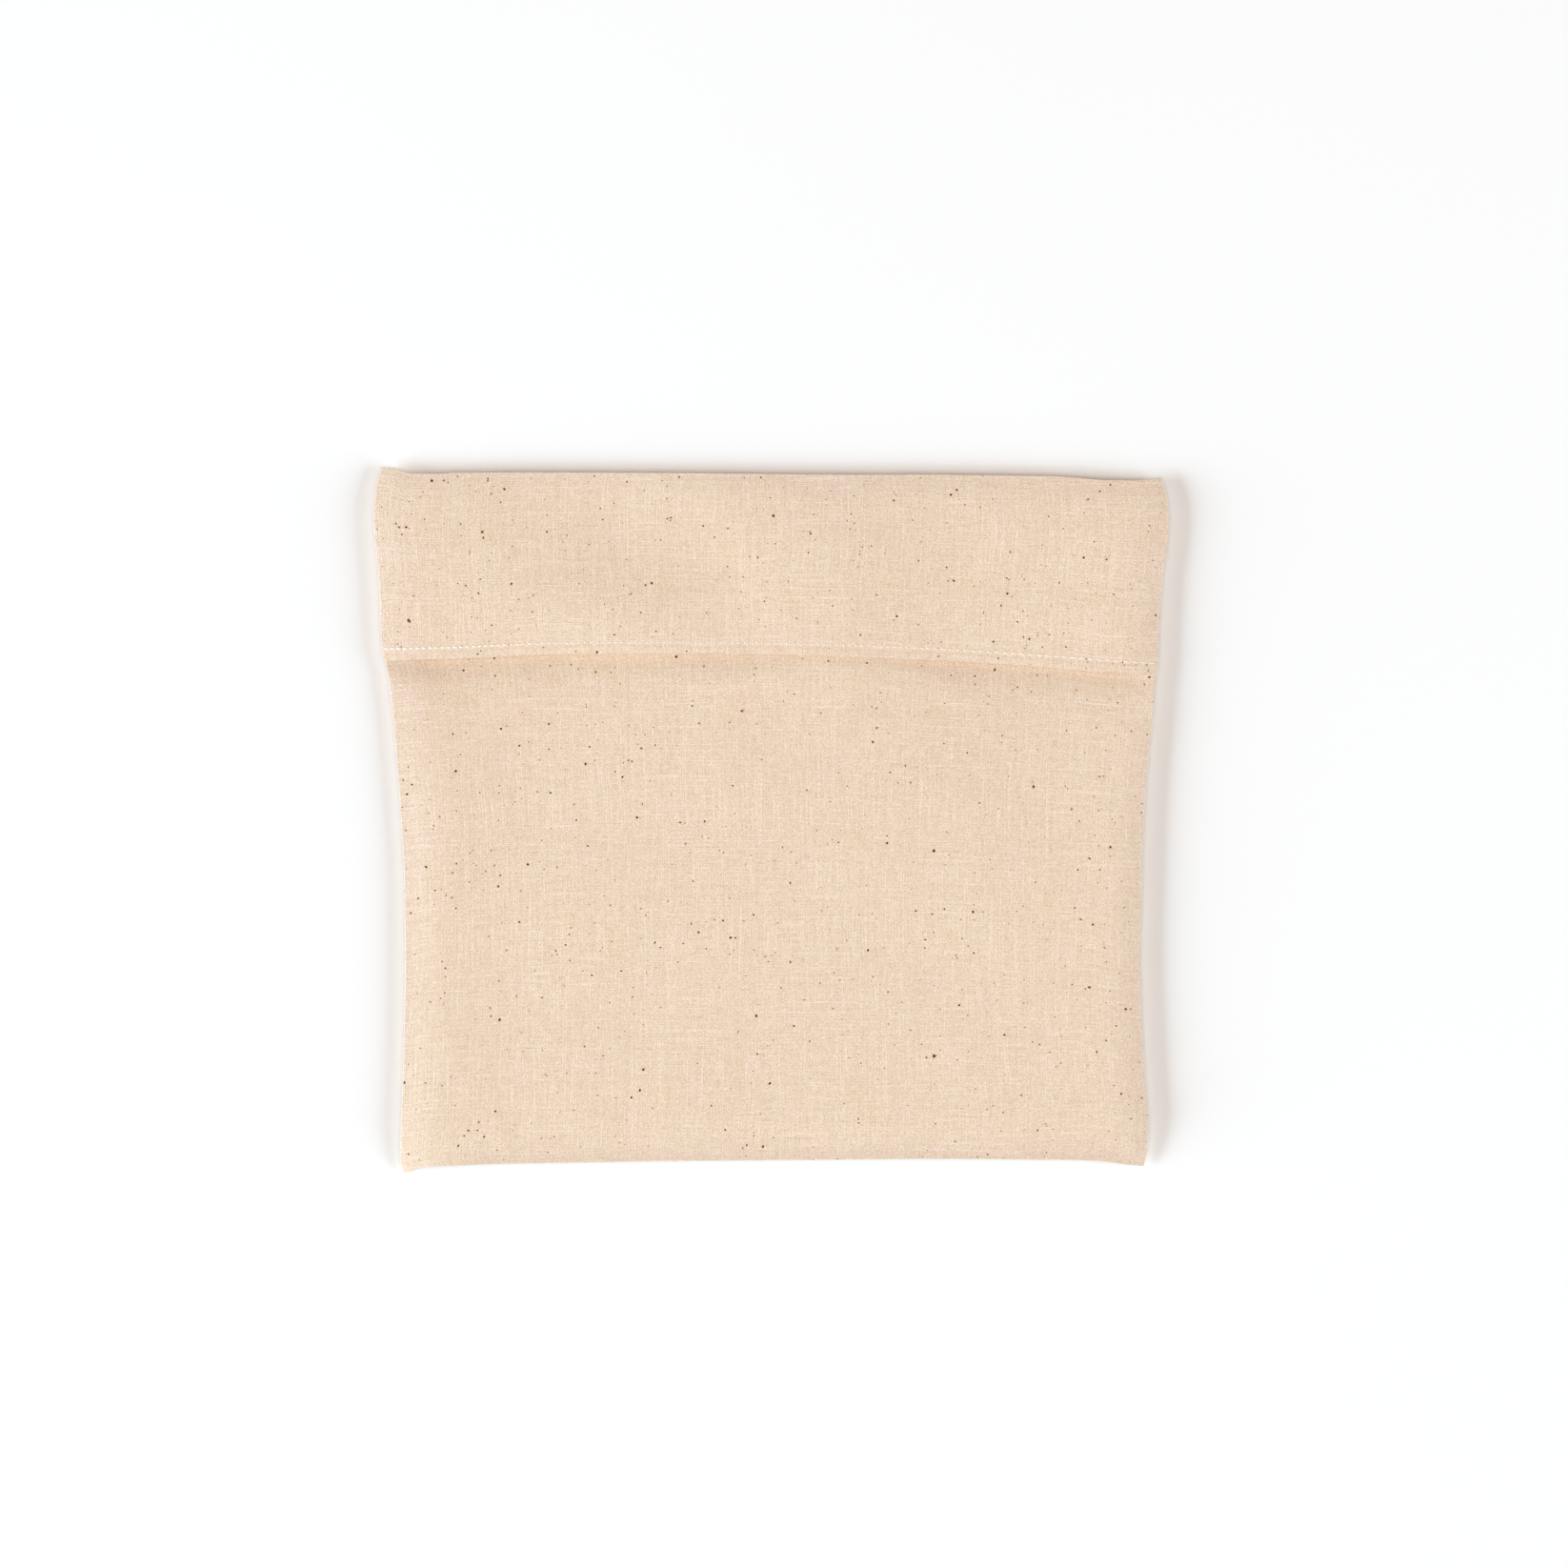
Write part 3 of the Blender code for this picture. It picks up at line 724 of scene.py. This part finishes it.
def build_flecks(cloth):
    """Bits of seed husk in the cloth: small flat lumps, each with its own darkness."""
    chance = np.random.default_rng(FLECK_SEED)
    points, faces, dark = [], [], []
    for x, y, down, length, darkness in fleck_places(chance):
        turn = chance.uniform(0, math.pi)
        slim = chance.uniform(*FLECK_SLIMNESS)
        radii = chance.uniform(*FLECK_RADII, FLECK_SIDES) * length / 2
        hit, place, normal, _ = cloth.ray_cast(Vector((x, y, -DROP_HEIGHT * down)), Vector((0, 0, down)))
        if not hit or abs(normal.z) < LEAST_UPRIGHT:
            continue
        lay = normal.to_track_quat("Z", "Y").to_matrix() @ Matrix.Rotation(turn, 3, "Z")
        faces += tube_faces(len(FLECK_RINGS), FLECK_SIDES, len(points))
        for height, share in FLECK_RINGS:
            for step in range(FLECK_SIDES):
                angle = 2 * math.pi * step / FLECK_SIDES
                reach = radii[step] * share
                offset = Vector((math.cos(angle) * reach, math.sin(angle) * reach * slim, height * MM))
                points.append(place + lay @ offset)
        dark += [darkness] * (len(points) - len(dark))
    return add_piece("husk_flecks", points, faces, "darkness", dark)


class Nodes:
    """Short names for adding shader nodes to a material."""

    def __init__(self, name):
        self.material = bpy.data.materials.new(name)
        self.material.use_nodes = True
        self.tree = self.material.node_tree
        self.shader = self.tree.nodes["Principled BSDF"]

    def add(self, kind, inputs=None, **settings):
        node = self.tree.nodes.new("ShaderNode" + kind)
        for name, value in settings.items():
            setattr(node, name, value)
        for name, value in (inputs or {}).items():
            self.feed(node.inputs[name], value)
        return node

    def feed(self, socket, value):
        if isinstance(value, bpy.types.NodeSocket):
            self.tree.links.new(value, socket)
        else:
            socket.default_value = value

    def math(self, operation, a, b=0.0, c=0.0):
        return self.add("Math", {0: a, 1: b, 2: c}, operation=operation).outputs[0]

    def vector(self, operation, a, b):
        return self.add("VectorMath", {0: a, 1: b}, operation=operation).outputs[0]

    def noise(self, place, stretch, detail=2.0):
        """Noise from 0 to 1 whose grains are as long as the stretch, in the unit of the place."""
        scaled = self.vector("MULTIPLY", place, (1 / stretch[0], 1 / stretch[1], 1))
        inputs = {"Vector": scaled, "Scale": 1.0, "Detail": detail, "Roughness": 0.5}
        return self.add("TexNoise", inputs, noise_dimensions="2D").outputs["Fac"]

    def ramp(self, value, low, high, to_low=0.0, to_high=1.0):
        inputs = {"Value": value, "From Min": low, "From Max": high, "To Min": to_low, "To Max": to_high}
        return self.add("MapRange", inputs, interpolation_type="SMOOTHSTEP").outputs["Result"]

    def mix(self, factor, a, b, blend="MIX"):
        node = self.add("Mix", data_type="RGBA", blend_type=blend)
        self.feed(node.inputs["Factor"], factor)
        self.feed(node.inputs[6], a)
        self.feed(node.inputs[7], b)
        return node.outputs[2]

    def tint(self, colour, by, share):
        """A colour multiplied by another, as far as the share goes."""
        return self.mix(share, colour, self.mix(1.0, colour, by, "MULTIPLY"))

    def surface(self, **inputs):
        """Feeds the shader's sockets, with _ for each space in a name, and gives back the material."""
        for name, value in inputs.items():
            self.feed(self.shader.inputs[name.replace("_", " ")], value)
        return self.material


COTTON = (0.769, 0.595, 0.452, 1)
COTTON_PINK = (0.777, 0.589, 0.463, 1)
COTTON_STRAW = (0.761, 0.595, 0.442, 1)
# Two threads of the weave, in mm, across the cloth and along it on the front and the flap.
WARP_PAIR = 0.71
WEFT_PAIR = 0.826
FLAP_WEFT_PAIR = 0.72
WEAVE_TONE = 0.075
WEAVE_RELIEF = 0.008               # in mm
WEAVE_RISING = 0.25                # how much of the rising diagonal shows beside the falling one
CLEAR_SIZE = (9, 9)                # of the patches where the weave shows most, in mm
LEAST_CLEAR = 0.45
WANDER_LENGTH = 20.0               # over which the threads wander by the next number, in mm
WANDER_SIZE = 1.4
# Layers of uneven grain: size in mm across and along the cloth, and what they add to the tone and the relief.
TONES = (
    # across, along, tone, relief in mm
    (2.6, 2.6, 0.06, 0.0),
    (1.3, 1.3, 0.105, 0.0),
    (0.65, 0.65, 0.20, 0.012),
    (0.34, 0.34, 0.43, 0.014),
    (0.42, 7.0, 0.08, 0.012),
    (7.0, 0.42, 0.075, 0.012),
    (1.1, 14.0, 0.05, 0.008),
    (14.0, 1.1, 0.04, 0.008),
)
GRAIN_SHIFT = (37.0, 91.0)         # between the places where two layers are read, in mm
# Thicker threads: size in mm across and along the cloth, and where in the noise they are read.
SLUBS = (
    (0.34, 16.0, 5.0),
    (0.38, 36.0, 211.0),
    (16.0, 0.34, 53.0),
    (36.0, 0.38, 157.0),
)
SLUB_RANGE = (0.64, 0.78)          # of the noise, from where a thread starts to where it is thickest
SLUB_TONE = 0.085
SLUB_RELIEF = 0.03                 # in mm
CLOUD_SIZE = (16, 22)              # of the straw-coloured and darker patches, in mm
CLOUD_TONE = 0.03
PINK_SIZE = (8, 11)                # of the pink patches, in mm
PINK_SHIFT = (311, 97, 0)
PINK_SHARE = 0.5
# How much of the tone each colour takes: the shade between the threads is warmer than their tops.
TONE_SHARES = (0.64, 1.0, 1.45)
# Painted light on the cloth: a painted sheen makes it a little paler along its edges and folds, and a painted
# shade makes it warmer in the crease below the hem.
EDGE_PAINTED_SHEEN = (0.997, 1.006, 1.03, 1)
CREASE_PAINTED_SHADE = (0.935, 0.912, 0.89, 1)
CREASE_REACHES = (2.6, 6.5)        # in mm, in the middle and towards the sides
CREASE_SHORT = (85.0, 110.0, 128.0, 150.0)  # across the cloth in mm, where it shortens and lengthens again
CREASE_FADE = (0.35, 1.25)         # shares of its reach, from full to none
CREASE_START = -1.5                # from the hem's line, in mm along the front
PAINTED_SHEEN_SIDE = (13, 4)                # how far from the sides, in mm, the painted sheen starts and is full
PAINTED_SHEEN_FOLD = (2.0, 9.0)             # how far from the folds, in mm, it is full and ends


def painted_sheen_share(n, flat):
    """Where the painted sheen lies: 1 along the side seams and the two folds, 0 inside, by the cloth's own
    coordinates in mm.
    """
    spot = n.add("SeparateXYZ", {"Vector": flat})
    from_middle = n.math("ABSOLUTE", n.math("SUBTRACT", spot.outputs[0], FLAT_WIDTH / MM / 2))
    side = n.ramp(from_middle, FLAT_WIDTH / MM / 2 - PAINTED_SHEEN_SIDE[0], FLAT_WIDTH / MM / 2 - PAINTED_SHEEN_SIDE[1])
    from_folds = n.math("SUBTRACT", spot.outputs[1], (MOUTH_LEVEL + BAG_HEIGHT / 2) / MM)
    from_fold = n.math("ABSOLUTE", n.math("SUBTRACT", n.math("ABSOLUTE", from_folds), BAG_HEIGHT / MM / 2))
    return n.math("MAXIMUM", side, n.ramp(from_fold, *PAINTED_SHEEN_FOLD, 1.0, 0.0))


def painted_crease_shade_share(n, flat):
    """1 on the front right below the hem, 0 where the crease's painted warm shade ends."""
    spot = n.add("SeparateXYZ", {"Vector": flat})
    across, along = spot.outputs[0], n.math("SUBTRACT", spot.outputs[1], (MOUTH_LEVEL - HEM_LEVEL) / MM)
    long = n.math("ADD", n.ramp(across, *CREASE_SHORT[:2], 1.0, 0.0), n.ramp(across, *CREASE_SHORT[2:]))
    reach = n.math("MULTIPLY_ADD", long, CREASE_REACHES[1] - CREASE_REACHES[0], CREASE_REACHES[0])
    fade = n.ramp(n.math("DIVIDE", along, reach), *CREASE_FADE, 1.0, 0.0)
    return n.math("MULTIPLY", fade, n.math("GREATER_THAN", along, CREASE_START))


def wandering_place(n, flat):
    """The cloth's coordinates, moved a little so that its threads run unevenly."""
    scaled = n.vector("MULTIPLY", flat, (1 / WANDER_LENGTH, 1 / WANDER_LENGTH, 1))
    wander = n.add("TexNoise", {"Vector": scaled, "Scale": 1.0, "Detail": 1.0})
    centred = n.vector("SUBTRACT", wander.outputs["Color"], (0.5, 0.5, 0.5))
    return n.vector("ADD", flat, n.vector("MULTIPLY", centred, (WANDER_SIZE, WANDER_SIZE, 0)))


def weave_wave(n, flat, place):
    """The plain weave as a wave around 0, clearer in some patches than in others."""
    spot = n.add("SeparateXYZ", {"Vector": place})
    warp = n.math("MULTIPLY", spot.outputs[0], math.tau / WARP_PAIR)
    # The back runs from the front's threads to the flap's, so that both join without a break.
    on_flap = n.math("GREATER_THAN", spot.outputs[1], (MOUTH_LEVEL + 1.5 * BAG_HEIGHT) / MM)
    weft_pair = n.math("MULTIPLY_ADD", on_flap, FLAP_WEFT_PAIR - WEFT_PAIR, WEFT_PAIR)
    weft = n.math("MULTIPLY", n.math("DIVIDE", spot.outputs[1], weft_pair), math.tau)
    falling = n.math("COSINE", n.math("SUBTRACT", warp, weft))
    rising = n.math("COSINE", n.math("ADD", warp, weft))
    clear = n.ramp(n.noise(flat, CLEAR_SIZE), 0.3, 0.7, LEAST_CLEAR, 1.0)
    return n.math("MULTIPLY", n.math("MULTIPLY_ADD", rising, WEAVE_RISING, falling), clear)


def uneven_threads(n, weave, place):
    """The tone and the relief of the weave, of its uneven grain and of the thicker threads."""
    tone = n.math("MULTIPLY", weave, WEAVE_TONE)
    relief = n.math("MULTIPLY", weave, WEAVE_RELIEF)
    for index, (across, along, size, lift) in enumerate(TONES):
        moved = n.vector("ADD", place, (GRAIN_SHIFT[0] * index, GRAIN_SHIFT[1] * index, 0))
        grain = n.math("SUBTRACT", n.noise(moved, (across, along), 0.0), 0.5)
        tone = n.math("MULTIPLY_ADD", grain, size, tone)
        if lift:
            relief = n.math("MULTIPLY_ADD", grain, lift, relief)
    slubs = []
    for across, along, shift in SLUBS:
        moved = n.vector("ADD", place, (shift, 3 * shift, 0))
        slubs.append(n.ramp(n.noise(moved, (across, along), 0.0), *SLUB_RANGE))
    thick = n.math("MAXIMUM", n.math("MAXIMUM", slubs[0], slubs[1]), n.math("MAXIMUM", slubs[2], slubs[3]))
    return n.math("MULTIPLY_ADD", thick, SLUB_TONE, tone), n.math("MULTIPLY_ADD", thick, SLUB_RELIEF, relief)


def cotton_material():
    """Unbleached plain-weave cotton, by the cloth's own coordinates in mm."""
    n = Nodes("unbleached_cotton")
    flat = n.vector("MULTIPLY", n.add("UVMap", uv_map="cloth_map").outputs["UV"], (1000, 1000, 0))
    place = wandering_place(n, flat)
    tone, relief = uneven_threads(n, weave_wave(n, flat, place), place)

    cloudy = n.noise(flat, CLOUD_SIZE, 3.0)
    pinkish = n.ramp(n.noise(n.vector("ADD", flat, PINK_SHIFT), PINK_SIZE, 3.0), 0.48, 0.72)
    base = n.mix(n.ramp(cloudy, 0.35, 0.65), COTTON, COTTON_STRAW)
    base = n.mix(n.math("MULTIPLY", pinkish, PINK_SHARE), base, COTTON_PINK)
    # Painted sheen: the cloth is paler along its edges and folds.
    base = n.tint(base, EDGE_PAINTED_SHEEN, painted_sheen_share(n, flat))
    # Painted shade: the cloth is warmer and darker in the crease below the hem.
    base = n.tint(base, CREASE_PAINTED_SHADE, painted_crease_shade_share(n, flat))
    tone = n.math("MULTIPLY_ADD", n.math("SUBTRACT", cloudy, 0.5), CLOUD_TONE, tone)
    shares = {axis: n.math("MULTIPLY_ADD", tone, share, 1.0) for axis, share in zip("XYZ", TONE_SHARES)}
    colour = n.mix(1.0, base, n.add("CombineXYZ", shares).outputs[0], "MULTIPLY")
    bump = n.add("Bump", {"Height": relief, "Strength": 1.0, "Distance": MM}).outputs["Normal"]
    return n.surface(
        Base_Color=colour,
        Normal=bump,
        Roughness=0.92,
        Specular_IOR_Level=0.2,
        Sheen_Weight=0.08,
        Sheen_Roughness=0.5,
    )


# Two tones of the white thread along its twist, the darker one a painted shade in the grooves between its
# plies, and the colour of the cotton's lint that covers it.
THREAD_PAINTED_GROOVE_SHADE = (0.86, 0.80, 0.72, 1)
THREAD_WHITE = (0.94, 0.90, 0.83, 1)
LINT = (0.76, 0.61, 0.48, 1)
TWIST_SCALE = 900.0
TWIST_RELIEF = 0.05 * MM


def thread_material():
    """White sewing thread, with the ply's twist along it in bumps and in painted shade on its grooves, and
    cream where the cotton's lint covers it.
    """
    n = Nodes("white_thread")
    place = n.add("TexCoord").outputs["Object"]
    inputs = {"Vector": place, "Scale": TWIST_SCALE, "Distortion": 1.0}
    twist = n.add("TexWave", inputs, bands_direction="DIAGONAL").outputs["Fac"]
    whiteness = n.add("Attribute", attribute_name="whiteness").outputs["Fac"]
    # The twist's low grooves take the darker colour, as painted shade.
    colour = n.mix(whiteness, LINT, n.mix(twist, THREAD_PAINTED_GROOVE_SHADE, THREAD_WHITE))
    bump = n.add("Bump", {"Height": twist, "Strength": 0.4, "Distance": TWIST_RELIEF}).outputs["Normal"]
    return n.surface(Base_Color=colour, Normal=bump, Roughness=0.6)


HUSK_PALE = (0.34, 0.15, 0.03, 1)
HUSK_DARK = (0.08, 0.022, 0.003, 1)
HUSK_SPOT = (0.2, 0.2)             # in mm


def husk_material():
    """Brown seed husk, paler where the fleck lies deeper in the cloth."""
    n = Nodes("seed_husk")
    darkness = n.add("Attribute", attribute_name="darkness").outputs["Fac"]
    spots = n.noise(n.vector("MULTIPLY", n.add("TexCoord").outputs["Object"], (1000, 1000, 0)), HUSK_SPOT)
    amount = n.math("MULTIPLY", darkness, n.ramp(spots, 0.2, 0.7, 0.75, 1.05))
    return n.surface(Base_Color=n.mix(amount, HUSK_PALE, HUSK_DARK), Roughness=0.9, Specular_IOR_Level=0.05)


SURFACE_DARKER = (0.905, 0.905, 0.905, 1)
SURFACE_PALER = (0.915, 0.915, 0.915, 1)
SURFACE_PATCH = (0.2, 0.2)         # in metres


def paper_material():
    """The plain white surface that the bag lies on."""
    n = Nodes("white_surface")
    mottle = n.noise(n.add("TexCoord").outputs["Object"], SURFACE_PATCH)
    colour = n.mix(mottle, SURFACE_DARKER, SURFACE_PALER)
    return n.surface(Base_Color=colour, Roughness=0.9, Specular_IOR_Level=0.1)


CAMERA_HEIGHT = 2.0
SENSOR = 36.0
FLOOR_SIZE = 6.0
# Softboxes: where each stands, its width and height in metres, its power and its colour.
DAYLIGHT = (0.74, 0.89, 1.0)
LAMPLIGHT = (1.0, 0.77, 0.6)
LIGHTS = (
    # name, x, y, z, width, height, watts, colour
    ("softbox_left", -3.4, -0.74, 0.97, 2.2, 1.8, 245.0, DAYLIGHT),
    ("softbox_right", 3.4, -0.74, 1.25, 2.2, 2.3, 143.0, DAYLIGHT),
    ("softbox_above", 0.0, 0.0, 2.6, 1.8, 1.8, 37.0, LAMPLIGHT),
)
WORLD_STRENGTH = 0.04


def add_camera():
    camera = add_object("camera", bpy.data.cameras.new("camera"))
    half = IMAGE_SIDE / 2
    x, y = bag_place(half, half)
    camera.location = (x, y, CAMERA_HEIGHT)
    camera.data.sensor_width = SENSOR
    camera.data.lens = SENSOR * CAMERA_HEIGHT / (IMAGE_SIDE * PIXEL)
    bpy.context.scene.camera = camera


def add_light(name, x, y, z, width, height, watts, colour):
    light = bpy.data.lights.new(name, "AREA")
    light.shape = "RECTANGLE"
    light.size, light.size_y = width, height
    light.energy = watts
    light.color = colour
    lamp = add_object(name, light)
    lamp.location = (x, y, z)
    lamp.rotation_mode = "QUATERNION"
    lamp.rotation_quaternion = Vector((-x, -y, -z)).to_track_quat("-Z", "Y")


def add_floor():
    mesh = bpy.data.meshes.new("floor")
    half = FLOOR_SIZE / 2
    corners = [(-half, -half, 0), (half, -half, 0), (half, half, 0), (-half, half, 0)]
    mesh.from_pydata(corners, [], [(0, 1, 2, 3)])
    mesh.materials.append(paper_material())
    floor = add_object("floor", mesh)


def add_set():
    add_camera()
    add_floor()
    for light in LIGHTS:
        add_light(*light)
    world = bpy.data.worlds.new("studio")
    world.use_nodes = True
    background = world.node_tree.nodes["Background"]
    background.inputs["Color"].default_value = (1, 1, 1, 1)
    background.inputs["Strength"].default_value = WORLD_STRENGTH
    bpy.context.scene.world = world
    bpy.context.scene.view_settings.view_transform = "Standard"


def dress(piece, material):
    piece.data.materials.append(material)
    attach(piece, "root")


add_set()
cloth, shift = build_cloth()
bpy.context.view_layer.update()
stitches = build_stitches(cloth, shift)
flecks = build_flecks(cloth)
dress(cloth, cotton_material())
dress(stitches, thread_material())
dress(flecks, husk_material())
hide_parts("bag_cloth")
